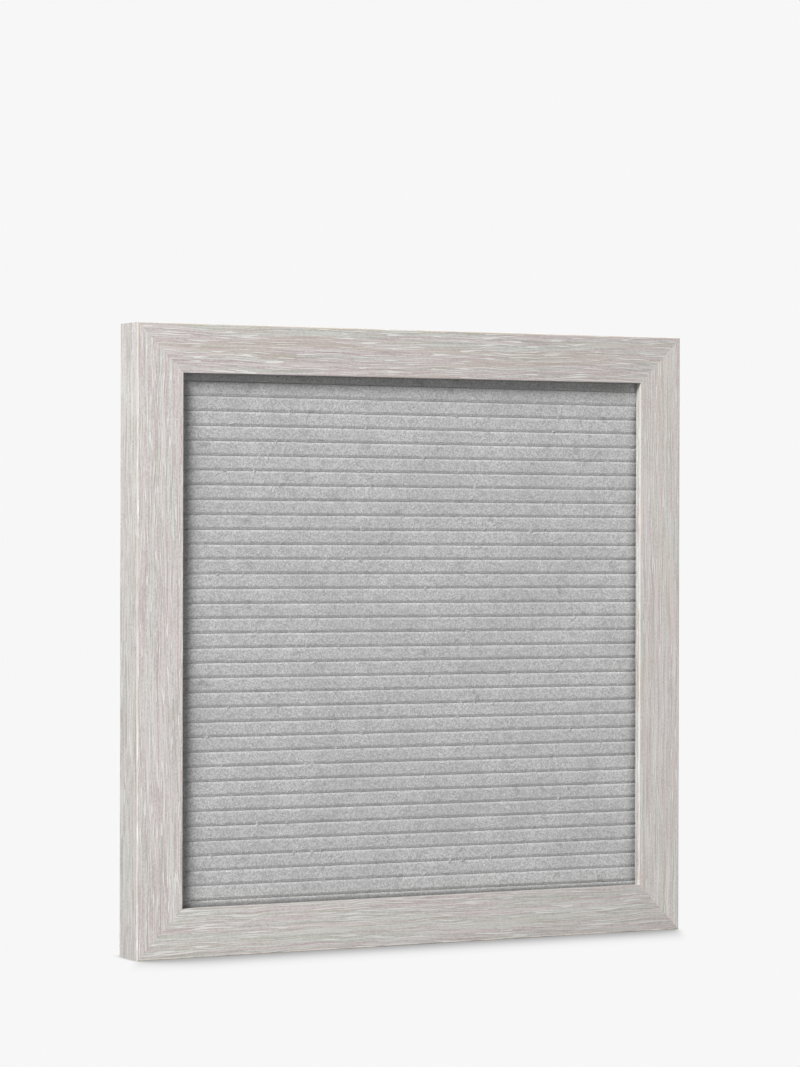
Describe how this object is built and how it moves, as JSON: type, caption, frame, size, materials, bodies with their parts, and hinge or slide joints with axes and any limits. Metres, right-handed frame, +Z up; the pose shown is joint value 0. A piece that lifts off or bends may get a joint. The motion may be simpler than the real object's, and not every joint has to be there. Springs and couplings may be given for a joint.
{
  "type": "letter board",
  "caption": "Square felt letter board in a pale limed-wood frame with mitred corners, rows of grooves for push-in letters, and a sawtooth hanger behind.",
  "frame": {"origin": "middle of the frame's underside, half way through the depth of the rails", "axes": "+X to the right seen from the front, +Y from the front to the back, +Z up"},
  "size_m": [0.254, 0.0201, 0.254],
  "materials": {
    "limed_wood": "limed open-grain oak, matt",
    "grey_felt": "fine short-pile felt, matt",
    "hardboard": "raw hardboard, matt",
    "steel": "bright spring steel, satin",
    "brassed_steel": "brass-plated pressed steel, satin"
  },
  "bodies": {
    "root": {"rail_top": "limed_wood", "rail_bottom": "limed_wood", "rail_left": "limed_wood", "rail_right": "limed_wood", "felt_letter_panel": "grey_felt", "backing_board": "hardboard", "point_top_1": "steel", "point_top_2": "steel", "point_bottom_1": "steel", "point_bottom_2": "steel", "point_left_1": "steel", "point_left_2": "steel", "point_right_1": "steel", "point_right_2": "steel", "v_nail_bottom_left_1": "steel", "v_nail_bottom_left_2": "steel", "v_nail_bottom_right_1": "steel", "v_nail_bottom_right_2": "steel", "v_nail_top_left_1": "steel", "v_nail_top_left_2": "steel", "v_nail_top_right_1": "steel", "v_nail_top_right_2": "steel", "sawtooth_hanger": "brassed_steel", "hanger_nail_left": "brassed_steel", "hanger_nail_right": "brassed_steel"}
  },
  "joints": []
}
